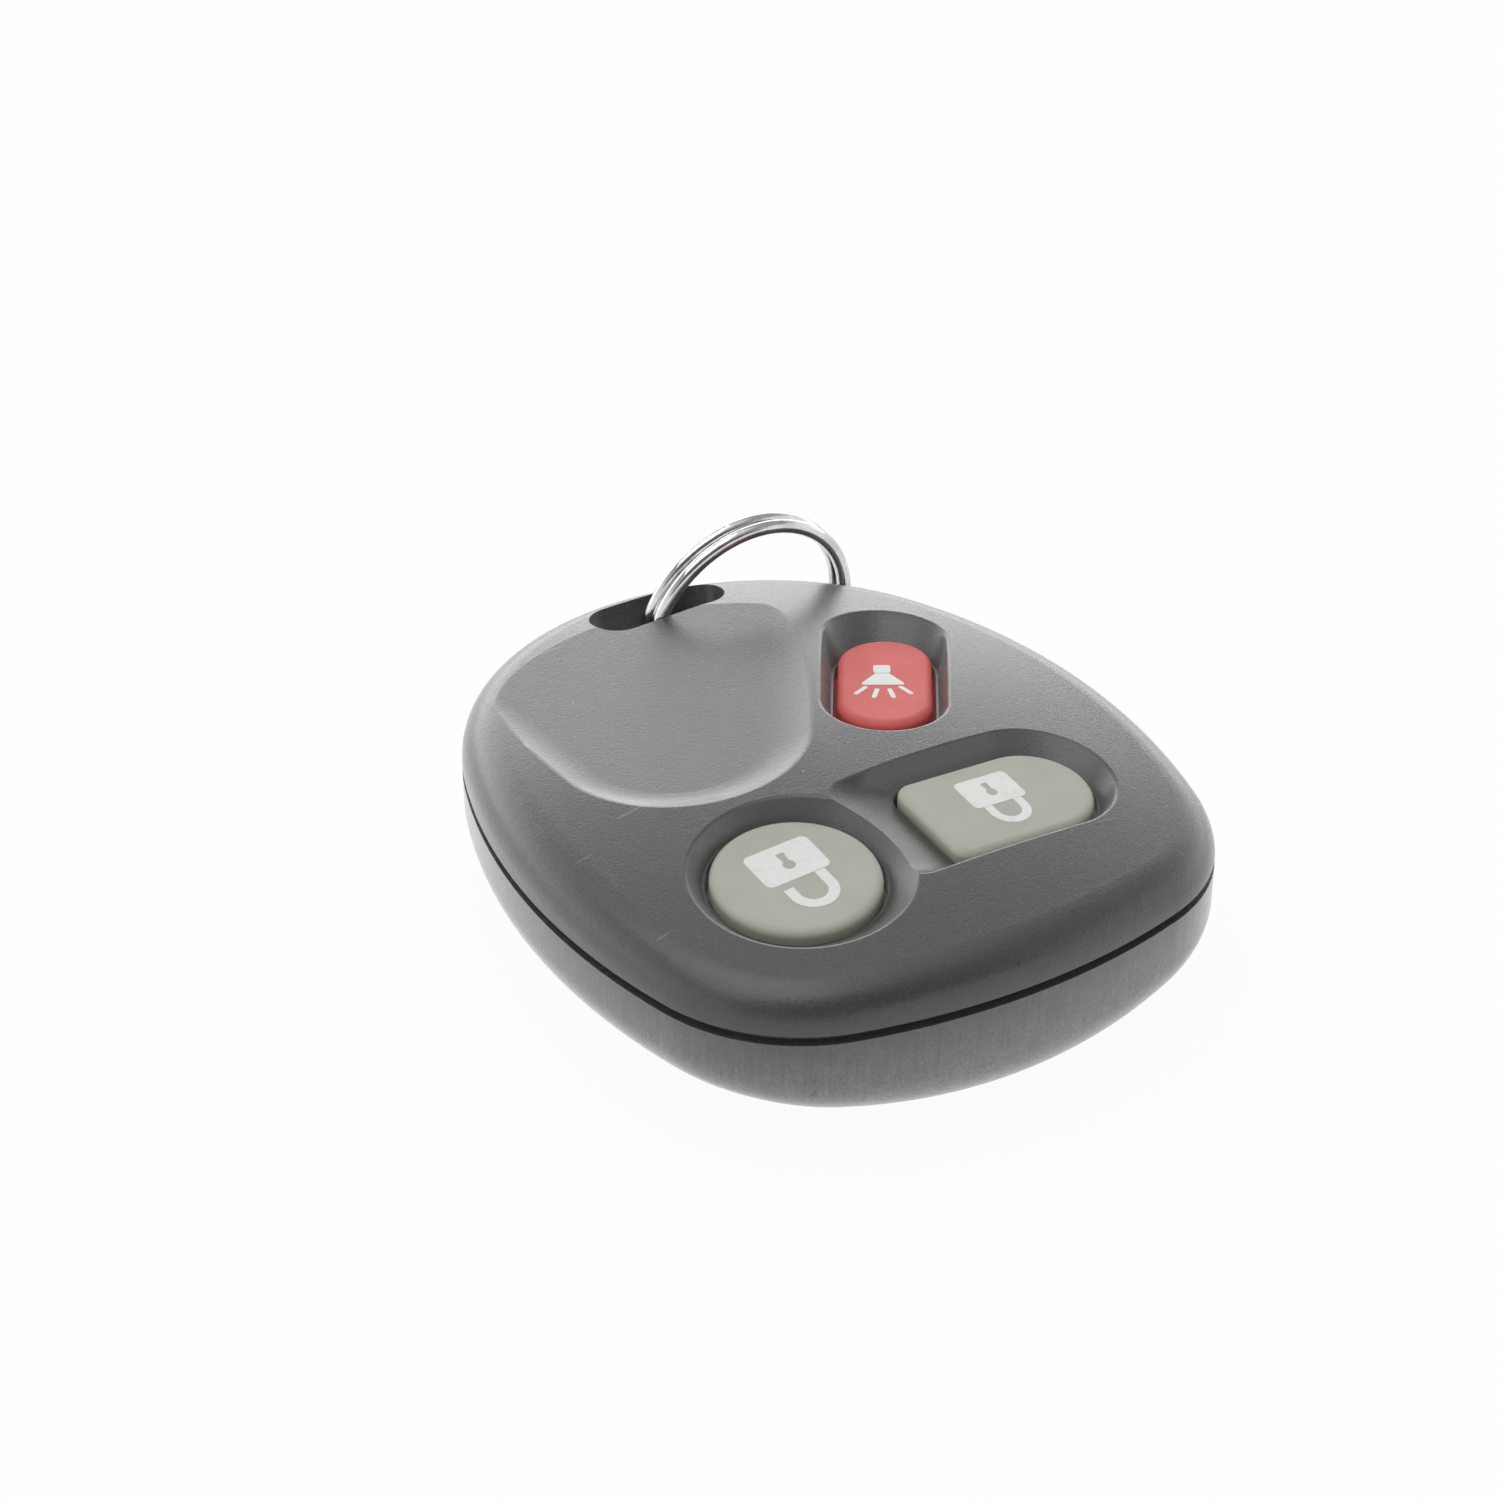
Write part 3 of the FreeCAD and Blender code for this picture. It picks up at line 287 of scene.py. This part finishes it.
def casingPlastic(name, lift, haze, wells):
    material, tree, shader = startMaterial(name)
    shader.inputs["Specular IOR Level"].default_value = casingLook["gloss"]
    shader.inputs["Coat Weight"].default_value = casingLook["skin"]
    shader.inputs["Coat Roughness"].default_value = casingLook["skinRough"]
    shader.inputs["Sheen Weight"].default_value = haze
    shader.inputs["Sheen Roughness"].default_value = casingLook["hazeRough"]
    grain = noise(tree, *casingLook["grain"])
    mottle = noise(tree, *casingLook["mottle"])
    streaks = noise(tree, *casingLook["streaks"])
    tilt = faceDirection(tree)
    place = axesOf(tree, placed(tree))
    upright = falling(tree, maths(tree, "ABSOLUTE", tilt["Z"], 0), casingLook["streakTilt"])
    above = rising(tree, place["Z"], casingLook["streakFoot"])
    below = falling(tree, place["Z"], casingLook["streakHead"])
    wall = maths(tree, "MULTIPLY", upright, above, below)

    # the lift scales the base colour; on the lower casing it is painted light
    dark = [c * lift for c in casingLook["dark"]]
    light = [c * lift for c in casingLook["light"]]
    shade = tones(tree, mottle, dark, light)
    shade = tinted(tree, shade, tones(tree, grain, *casingLook["grainShades"], casingLook["grainSpan"]))
    # painted light inside the key wells and the ring slot
    if wells:
        shade = paintedLightWells(tree, shade, tilt, place, light)
    # painted light and shade towards the bottom of the casing
    shade = underPaintedLight(tree, shade, place)
    drawn = tones(tree, streaks, *casingLook["streakShades"], casingLook["streakSpan"])
    shade = tinted(tree, shade, blendColours(tree, wall, grey(1.0), drawn))
    tree.links.new(wornPlastic(tree, shade), shader.inputs["Base Color"])

    tree.links.new(between(tree, grain, casingLook["rough"], noiseSpan), shader.inputs["Roughness"])
    share = casingLook["streakDepth"] / casingLook["grainDepth"]
    height = maths(tree, "ADD", grain, maths(tree, "MULTIPLY", streaks, wall, share))
    bump(tree, shader, height, casingLook["grainDepth"])
    bump(tree, shader, height, casingLook["skinDepth"], "Coat Normal")
    return material


sealLook = {
    "dark": grey(0.070),
    "light": grey(0.100),
    "grain": (2500, 3, 0.5),
    "rough": (0.55, 0.75),
    "depth": 0.00001,
}


def sealRubber():
    material, tree, shader = startMaterial("sealRubber")
    grain = noise(tree, *sealLook["grain"])
    tree.links.new(tones(tree, grain, sealLook["dark"], sealLook["light"]), shader.inputs["Base Color"])
    tree.links.new(between(tree, grain, sealLook["rough"]), shader.inputs["Roughness"])
    bump(tree, shader, grain, sealLook["depth"])
    return material


# key rubber: a chalky face, sides painted lighter than the face as painted light, and a little glow from
# within
keyLook = {
    "green": {"dark": (0.425, 0.440, 0.378), "light": (0.460, 0.475, 0.412), "side": (0.54, 0.56, 0.46)},
    "red": {"dark": (0.660, 0.130, 0.122), "light": (0.720, 0.152, 0.144), "side": (0.97, 0.16, 0.15)},
    "mottle": (350, 2, 0.5),
    "grain": (4200, 4, 0.6),
    "topFrom": (0.45, 1.0),
    "rough": (0.5, 0.68),
    "glow": 0.12,
    "glowReach": (0.0012, 0.0010, 0.0008),
    "depth": 0.000010,
}


def keyRubber(name, colours):
    material, tree, shader = startMaterial(name)
    grain = noise(tree, *keyLook["grain"])
    mottle = noise(tree, *keyLook["mottle"])
    top = rising(tree, faceDirection(tree)["Z"], keyLook["topFrom"])
    face = tones(tree, mottle, colours["dark"], colours["light"])
    # painted light: the sides of each key are painted lighter than its face
    tree.links.new(blendColours(tree, top, colours["side"], face), shader.inputs["Base Color"])
    tree.links.new(between(tree, grain, keyLook["rough"]), shader.inputs["Roughness"])
    shader.inputs["Subsurface Weight"].default_value = keyLook["glow"]
    shader.inputs["Subsurface Radius"].default_value = keyLook["glowReach"]
    shader.inputs["Subsurface Scale"].default_value = 1.0
    bump(tree, shader, grain, keyLook["depth"])
    return material


ringLook = {
    "bright": (0.76, 0.75, 0.75),
    "worn": (0.56, 0.55, 0.56),
    "drawn": (1500, 4, 0.6),
    "wear": (500, 3, 0.6),
    "wearSpan": (0.35, 0.6),
    "rough": (0.05, 0.14),
    "depth": 0.000002,
}


def ringNickel():
    material, tree, shader = startMaterial("ringNickel")
    drawn = noise(tree, *ringLook["drawn"])
    wear = noise(tree, *ringLook["wear"])
    shader.inputs["Metallic"].default_value = 1.0
    tree.links.new(tones(tree, wear, ringLook["worn"], ringLook["bright"], ringLook["wearSpan"]),
                   shader.inputs["Base Color"])
    tree.links.new(between(tree, drawn, ringLook["rough"], noiseSpan), shader.inputs["Roughness"])
    bump(tree, shader, drawn, ringLook["depth"])
    return material


boardLook = {
    "dark": (0.012, 0.075, 0.030),
    "light": (0.018, 0.100, 0.040),
    "track": (0.030, 0.150, 0.060),
    "trackScale": 320,
    "trackWidth": (0.05, 0.08),
    "trackDepth": 0.00003,
    "weave": 900,
    "weaveWobble": 1.2,
    "weaveSpan": (0.2, 0.8),
    "rough": (0.28, 0.38),
}


def boardLaminate():
    material, tree, shader = startMaterial("boardLaminate")
    weave = tree.nodes.new("ShaderNodeTexWave")
    weave.inputs["Scale"].default_value = boardLook["weave"]
    weave.inputs["Distortion"].default_value = boardLook["weaveWobble"]
    tree.links.new(placed(tree), weave.inputs["Vector"])
    tracks = tree.nodes.new("ShaderNodeTexVoronoi")
    tracks.feature = "DISTANCE_TO_EDGE"
    tracks.inputs["Scale"].default_value = boardLook["trackScale"]
    tree.links.new(placed(tree, (1, 1, 0.01)), tracks.inputs["Vector"])
    track = falling(tree, tracks.outputs["Distance"], boardLook["trackWidth"])
    lacquer = tones(tree, weave.outputs["Fac"], boardLook["dark"], boardLook["light"], boardLook["weaveSpan"])
    tree.links.new(blendColours(tree, track, lacquer, boardLook["track"]), shader.inputs["Base Color"])
    tree.links.new(between(tree, weave.outputs["Fac"], boardLook["rough"]), shader.inputs["Roughness"])
    bump(tree, shader, track, boardLook["trackDepth"])
    return material


# the parts inside have plain finishes of two kinds
plainKinds = {
    "plastic": {"metallic": 0.0, "grain": (2200, 4, 0.6), "roughSpread": (-0.08, 0.08), "depth": 0.000008},
    "metal": {"metallic": 1.0, "grain": (1800, 4, 0.6), "roughSpread": (-0.06, 0.08), "depth": 0.000004},
}
plainSpan = (0.35, 0.65)

insideLook = {  # kind, dark, light, middle roughness
    "siliconeSheet": ("plastic", (0.22, 0.23, 0.22), (0.30, 0.31, 0.30), 0.55),
    "switchCasePlastic": ("plastic", (0.02, 0.02, 0.022), (0.04, 0.04, 0.042), 0.4),
    "plungerPlastic": ("plastic", (0.38, 0.36, 0.31), (0.48, 0.46, 0.40), 0.42),
    "cellSteel": ("metal", (0.56, 0.56, 0.57), (0.68, 0.68, 0.69), 0.26),
    "contactBronze": ("metal", (0.62, 0.52, 0.34), (0.74, 0.64, 0.44), 0.24),
    "chipEpoxy": ("plastic", (0.010, 0.010, 0.011), (0.022, 0.022, 0.023), 0.5),
    "canTin": ("metal", (0.58, 0.58, 0.56), (0.70, 0.70, 0.68), 0.2),
    "antennaCopper": ("metal", (0.72, 0.36, 0.20), (0.86, 0.48, 0.30), 0.26),
    "chipCeramic": ("plastic", (0.20, 0.16, 0.11), (0.34, 0.28, 0.20), 0.45),
}


def plainFinish(name, kind, dark, light, rough):
    look = plainKinds[kind]
    material, tree, shader = startMaterial(name)
    grain = noise(tree, *look["grain"])
    shader.inputs["Metallic"].default_value = look["metallic"]
    tree.links.new(tones(tree, grain, dark, light, plainSpan), shader.inputs["Base Color"])
    reach = [rough + step for step in look["roughSpread"]]
    tree.links.new(between(tree, grain, reach, noiseSpan), shader.inputs["Roughness"])
    bump(tree, shader, grain, look["depth"])
    return material


finishes = {
    "top_casing": "upperCasingPlastic",
    "bottom_casing": "lowerCasingPlastic",
    "parting_seal": "sealRubber",
    "unlock_button": "greenKeyRubber",
    "lock_button": "greenKeyRubber",
    "panic_button": "redKeyRubber",
    "keypad_sheet": "siliconeSheet",
    "circuit_board": "boardLaminate",
    "unlock_switch": "switchCasePlastic",
    "lock_switch": "switchCasePlastic",
    "panic_switch": "switchCasePlastic",
    "unlock_plunger": "plungerPlastic",
    "lock_plunger": "plungerPlastic",
    "panic_plunger": "plungerPlastic",
    "coin_cell": "cellSteel",
    "cell_strap": "contactBronze",
    "cell_contact": "contactBronze",
    "encoder_chip": "chipEpoxy",
    "resonator_can": "canTin",
    "tuning_trimmer": "canTin",
    "antenna_loop": "antennaCopper",
    "chip_resistors": "chipCeramic",
    "chip_capacitors": "chipCeramic",
    "split_ring": "ringNickel",
}


def dressNodes():
    made = {name: plainFinish(name, *look) for name, look in insideLook.items()}
    made["upperCasingPlastic"] = casingPlastic("upperCasingPlastic", **casingLook["upper"], wells=True)
    made["lowerCasingPlastic"] = casingPlastic("lowerCasingPlastic", **casingLook["lower"], wells=False)
    made["sealRubber"] = sealRubber()
    made["greenKeyRubber"] = keyRubber("greenKeyRubber", keyLook["green"])
    made["redKeyRubber"] = keyRubber("redKeyRubber", keyLook["red"])
    made["boardLaminate"] = boardLaminate()
    made["ringNickel"] = ringNickel()
    for name, part in nodes.items():
        part.data.materials.clear()
        part.data.materials.append(made[finishes[name]])
    print("dressed", len(nodes), "nodes")


dressNodes()


# printed pictograms: flat shapes drawn in millimetres, then laid on a key's face
printLook = {
    "ink": (0.80, 0.82, 0.80),
    "worn": (0.72, 0.74, 0.72),
    "grain": (3500, 4, 0.6),
    "wear": (1200, 3, 0.6),
    "wearSpan": (0.25, 0.5),
    "rough": (0.45, 0.6),
    "depth": 0.000006,
    "thick": 0.03,
    "sunk": 0.01,
    "rayFrom": 50.0,
    "spareHeight": 12.0,
}

padlock = {
    "body": (2.2, 1.55, 0.22),
    "holeAt": (0, 0.14),
    "holeRadius": 0.20,
    "holeArc": (-60, 240, 14),
    "holeFoot": [(-0.14, -0.42), (0.14, -0.42)],
    "shackleRadius": 0.62,
    "shackleArc": (180, 0, 22),
    "shackleThick": 0.34,
    "closed": {"left": 0.79, "right": 0.79, "rise": 1.20},
    "open": {"left": 0.80, "right": 1.05, "rise": 1.42},
    "middle": 0.55,
}

horn = {
    "bell": [(-0.30, -0.32), (0.62, -0.95), (0.82, -0.95), (0.82, 0.95), (0.62, 0.95), (-0.30, 0.32)],
    "back": (0.78, 0.78, 0.14),
    "backAt": (-0.74, 0),
    "ray": (0.95, 0.22, 0.10),
    "rayAt": (1.75, 0),
    "rayShift": (-0.05, 0),
    "rayAngles": (-36, -12, 12, 36),
    "middle": 0.35,
}


def printInk():
    material, tree, shader = startMaterial("printInk")
    grain = noise(tree, *printLook["grain"])
    wear = noise(tree, *printLook["wear"])
    tree.links.new(tones(tree, wear, printLook["worn"], printLook["ink"], printLook["wearSpan"]),
                   shader.inputs["Base Color"])
    tree.links.new(between(tree, grain, printLook["rough"]), shader.inputs["Roughness"])
    bump(tree, shader, grain, printLook["depth"])
    return material


def turned(points, degrees, shift=(0, 0)):
    angle = math.radians(degrees)
    c, s = math.cos(angle), math.sin(angle)
    return [(x * c - y * s + shift[0], x * s + y * c + shift[1]) for x, y in points]


def arcPoints(centre, radius, start, end, count):
    steps = [math.radians(start + (end - start) * i / count) for i in range(count + 1)]
    return [(centre[0] + radius * math.cos(a), centre[1] + radius * math.sin(a)) for a in steps]


def roundedBox(width, height, corner, centre=(0, 0)):
    w, h = width / 2 - corner, height / 2 - corner
    points = []
    for x, y, start in ((w, h, 0), (-w, h, 90), (-w, -h, 180), (w, -h, 270)):
        points += arcPoints((centre[0] + x, centre[1] + y), corner, start, start + 90, 6)
    return points


def barAlong(path, thick):
    left, right = [], []
    for i, (x, y) in enumerate(path):
        ax, ay = path[max(i - 1, 0)]
        bx, by = path[min(i + 1, len(path) - 1)]
        run = math.hypot(bx - ax, by - ay)
        nx, ny = (ay - by) / run * thick / 2, (bx - ax) / run * thick / 2
        left.append((x + nx, y + ny))
        right.append((x - nx, y - ny))
    return left + right[::-1]


def padlockShape(size, state):
    fit = padlock[state]
    radius = padlock["shackleRadius"]
    keyhole = arcPoints(padlock["holeAt"], padlock["holeRadius"], *padlock["holeArc"]) + padlock["holeFoot"]
    bow = arcPoints((0, fit["rise"]), radius, *padlock["shackleArc"])
    shackle = barAlong([(-radius, fit["left"])] + bow + [(radius, fit["right"])], padlock["shackleThick"])
    shapes = [roundedBox(*padlock["body"]), keyhole, shackle]
    return [[(x * size, (y - padlock["middle"]) * size) for x, y in shape] for shape in shapes]


def hornShape(size):
    shapes = [horn["bell"], roundedBox(*horn["back"], horn["backAt"])]
    ray = roundedBox(*horn["ray"], horn["rayAt"])
    shapes += [turned(ray, degrees, horn["rayShift"]) for degrees in horn["rayAngles"]]
    return [[((x - horn["middle"]) * size, y * size) for x, y in shape] for shape in shapes]


prints = {
    "unlock_print": {"on": "unlock_button", "body": "unlock_key", "slot": "green_key",
                     "spot": (-9.45, -13.1), "turn": 180, "shape": padlockShape(2.35, "open")},
    "lock_print": {"on": "lock_button", "body": "lock_key", "slot": "green_key",
                   "spot": (7.4, -13.1), "turn": 180, "shape": padlockShape(2.0, "closed")},
    "panic_print": {"on": "panic_button", "body": "panic_key", "slot": "red_key",
                    "spot": (9.6, 4.7), "turn": -122, "shape": hornShape(1.6)},
}


def flatMesh(name, plan):
    curve = bpy.data.curves.new(name, "CURVE")
    curve.dimensions = "2D"
    curve.fill_mode = "BOTH"
    for outline in plan["shape"]:
        spline = curve.splines.new("POLY")
        spline.points.add(len(outline) - 1)
        for point, (x, y) in zip(spline.points, turned(outline, plan["turn"], plan["spot"])):
            point.co = (x * mm, y * mm, 0, 1)
        spline.use_cyclic_u = True
    curve.extrude = printLook["thick"] / 2 * mm
    flat = addObject(name, curve)
    bpy.context.view_layer.update()
    mesh = bpy.data.meshes.new_from_object(flat)
    bpy.data.objects.remove(flat)
    return mesh


def layPrint(name, plan, ink):
    key = nodes[plan["on"]].data
    face = BVHTree.FromPolygons([v.co for v in key.vertices], [p.vertices for p in key.polygons])
    mesh = flatMesh(name, plan)
    work = bmesh.new()
    work.from_mesh(mesh)
    bmesh.ops.remove_doubles(work, verts=work.verts, dist=1e-7)
    bmesh.ops.triangulate(work, faces=work.faces)
    for vertex in work.verts:
        start = Vector((vertex.co.x, vertex.co.y, printLook["rayFrom"] * mm))
        hit = face.ray_cast(start, Vector((0, 0, -1)))[0]
        height = hit.z if hit else printLook["spareHeight"] * mm
        vertex.co.z += height + (printLook["thick"] / 2 - printLook["sunk"]) * mm
    work.to_mesh(mesh)
    work.free()
    piece = addObject(name, mesh)
    piece.data.materials.append(ink)
    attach(piece, plan["body"])


def layPrints():
    ink = printInk()
    for name, plan in prints.items():
        layPrint(name, plan, ink)
    print("prints laid")


layPrints()


# studio: a pale room that is brightest low on the far side, which the casing's top mirrors
studio = {
    "room": 0.95,
    "farSide": (0.30, 0.954, 0.0),
    "glow": 1.15,
    "glowAhead": (0.50, 0.90),
    "glowHeight": (0.42, 0.68),
    "horizon": 0.90,
    "horizonAhead": (-0.10, 0.40),
    "horizonHeight": (0.05, 0.30),
    "nearDark": 0.85,
    "nearBehind": (-0.62, -0.42),
    "nearHeight": (0.26, 0.36),
    "upperDark": 0.55,
    "upperFrom": (0.40, 0.58),
    "upperTo": (0.84, 0.96),
    "floorSize": 3.0,
    "floorDrop": 0.00002,
    "floorGrain": (300, 2, 0.5),
    "floorDark": grey(0.89),
    "floorLight": grey(0.90),
    "floorRough": 0.9,
    "floorGloss": 0.1,
    "floorWhite": 0.95,
}

softbox = {"place": (-0.22, 0.06, 0.7), "size": (0.7, 0.7), "power": 1.7}


def makeFloor():
    mesh = bpy.data.meshes.new("floor")
    work = bmesh.new()
    bmesh.ops.create_grid(work, x_segments=2, y_segments=2, size=studio["floorSize"])
    work.to_mesh(mesh)
    work.free()
    floor = addObject("floor", mesh)
    floor.location = (0, 0, -studio["floorDrop"])
    material, tree, shader = startMaterial("floorPaper")
    grain = noise(tree, *studio["floorGrain"])
    tree.links.new(tones(tree, grain, studio["floorDark"], studio["floorLight"]), shader.inputs["Base Color"])
    shader.inputs["Roughness"].default_value = studio["floorRough"]
    shader.inputs["Specular IOR Level"].default_value = studio["floorGloss"]
    white = tree.nodes.new("ShaderNodeEmission")
    white.inputs["Strength"].default_value = 1.0
    path = tree.nodes.new("ShaderNodeLightPath")
    seen = maths(tree, "MAXIMUM", path.outputs["Is Camera Ray"], path.outputs["Is Glossy Ray"])
    mix = tree.nodes.new("ShaderNodeMixShader")
    out = next(node for node in tree.nodes if node.type == "OUTPUT_MATERIAL")
    tree.links.new(maths(tree, "MULTIPLY", seen, studio["floorWhite"]), mix.inputs["Fac"])
    tree.links.new(shader.outputs["BSDF"], mix.inputs[1])
    tree.links.new(white.outputs["Emission"], mix.inputs[2])
    tree.links.new(mix.outputs["Shader"], out.inputs["Surface"])
    floor.data.materials.append(material)


def makeWorld():
    world = bpy.data.worlds.new("studioRoom")
    bpy.context.scene.world = world
    world.use_nodes = True
    tree = world.node_tree
    tree.nodes.clear()
    out = tree.nodes.new("ShaderNodeOutputWorld")
    walls = tree.nodes.new("ShaderNodeBackground")
    tree.links.new(walls.outputs["Background"], out.inputs["Surface"])
    where = tree.nodes.new("ShaderNodeTexCoord")
    facing = tree.nodes.new("ShaderNodeVectorMath")
    facing.operation = "DOT_PRODUCT"
    facing.inputs[1].default_value = studio["farSide"]
    tree.links.new(where.outputs["Generated"], facing.inputs[0])
    ahead = facing.outputs["Value"]
    height = axesOf(tree, where.outputs["Generated"])["Z"]

    # light: the room itself, a glow low on the far side and a strip along its horizon
    glow = maths(tree, "MULTIPLY", rising(tree, ahead, studio["glowAhead"]),
                 falling(tree, height, studio["glowHeight"]), studio["glow"])
    horizon = maths(tree, "MULTIPLY", rising(tree, ahead, studio["horizonAhead"]),
                    falling(tree, height, studio["horizonHeight"]), studio["horizon"])
    # shade: the near side, and a belt high on the walls
    near = maths(tree, "MULTIPLY", falling(tree, ahead, studio["nearBehind"]),
                 rising(tree, height, studio["nearHeight"]), studio["nearDark"])
    belt = maths(tree, "MULTIPLY", rising(tree, height, studio["upperFrom"]),
                 falling(tree, height, studio["upperTo"]), studio["upperDark"])
    unshaded = maths(tree, "SUBTRACT", 1.0, maths(tree, "MAXIMUM", near, belt))
    room = maths(tree, "MULTIPLY", unshaded, studio["room"])
    level = maths(tree, "ADD", glow, horizon, room)
    path = tree.nodes.new("ShaderNodeLightPath")
    level = maths(tree, "MAXIMUM", level, path.outputs["Is Camera Ray"])
    tree.links.new(level, walls.inputs["Strength"])
    walls.inputs["Color"].default_value = (1, 1, 1, 1)


def makeSoftbox():
    data = bpy.data.lights.new("softbox", "AREA")
    data.shape = "RECTANGLE"
    data.size, data.size_y = softbox["size"]
    data.energy = softbox["power"]
    lamp = addObject("softbox", data)
    lamp.location = softbox["place"]
    lamp.rotation_euler = (-Vector(softbox["place"])).to_track_quat("-Z", "Y").to_euler()


makeFloor()
makeWorld()
makeSoftbox()
bpy.context.scene.view_settings.view_transform = "Standard"
print("studio ready")
